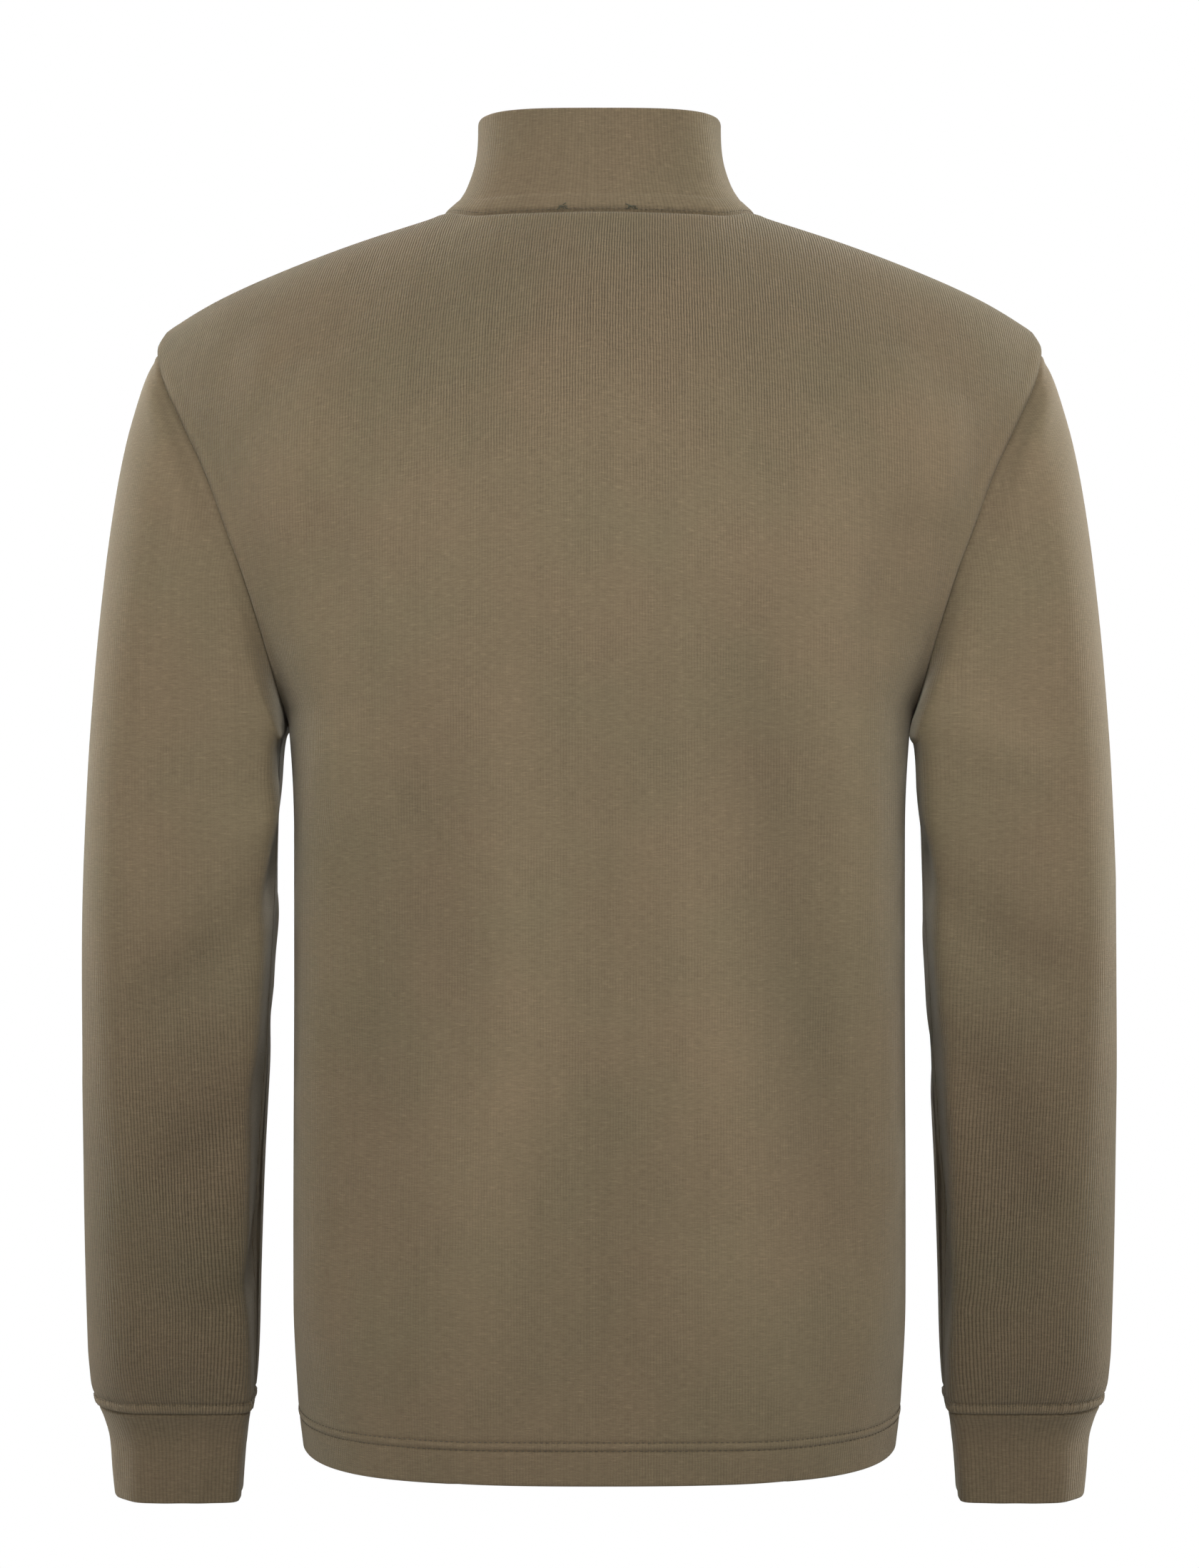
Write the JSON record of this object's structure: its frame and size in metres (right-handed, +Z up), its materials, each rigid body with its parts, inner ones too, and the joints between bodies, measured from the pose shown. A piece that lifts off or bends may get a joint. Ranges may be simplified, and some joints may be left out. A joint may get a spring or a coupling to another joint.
{
  "type": "quarter zip sweater",
  "caption": "Ribbed knit pullover in its worn shape, hollow, with a stand collar, a short front zip whose pull swings, long sleeves and ribbed cuffs.",
  "frame": {"origin": "mount wearer_hold, in the middle of the neck opening, level with the seam at the back of the neck", "axes": "+Z up along the standing wearer, -Y out of the front with the zip, +X to the wearer's left"},
  "size_m": [0.601, 0.2555, 0.8017],
  "materials": {
    "rib_knit": "single rib knit, soft and matt",
    "double_rib": "doubled rib knit, matt",
    "zip_tape": "woven tape, matt",
    "zip_metal": "dulled metal, satin"
  },
  "bodies": {
    "garment": {"back": "rib_knit", "front": "rib_knit", "sleeve_left": "rib_knit", "sleeve_right": "rib_knit", "cuff_left": "double_rib", "cuff_right": "double_rib", "collar": "double_rib", "zip_tape_left": "zip_tape", "zip_tape_right": "zip_tape", "zip_teeth": "zip_metal", "zip_stop": "zip_metal", "zip_slider": "zip_metal"},
    "pull": {"zip_pull": "zip_metal"}
  },
  "joints": [
    {"name": "pull_swing", "type": "hinge", "parent": "garment", "child": "pull", "pos_m": [0, -0.076, 0.02437], "axis": [-1, 0, 0], "range_deg": [0, 165]}
  ]
}
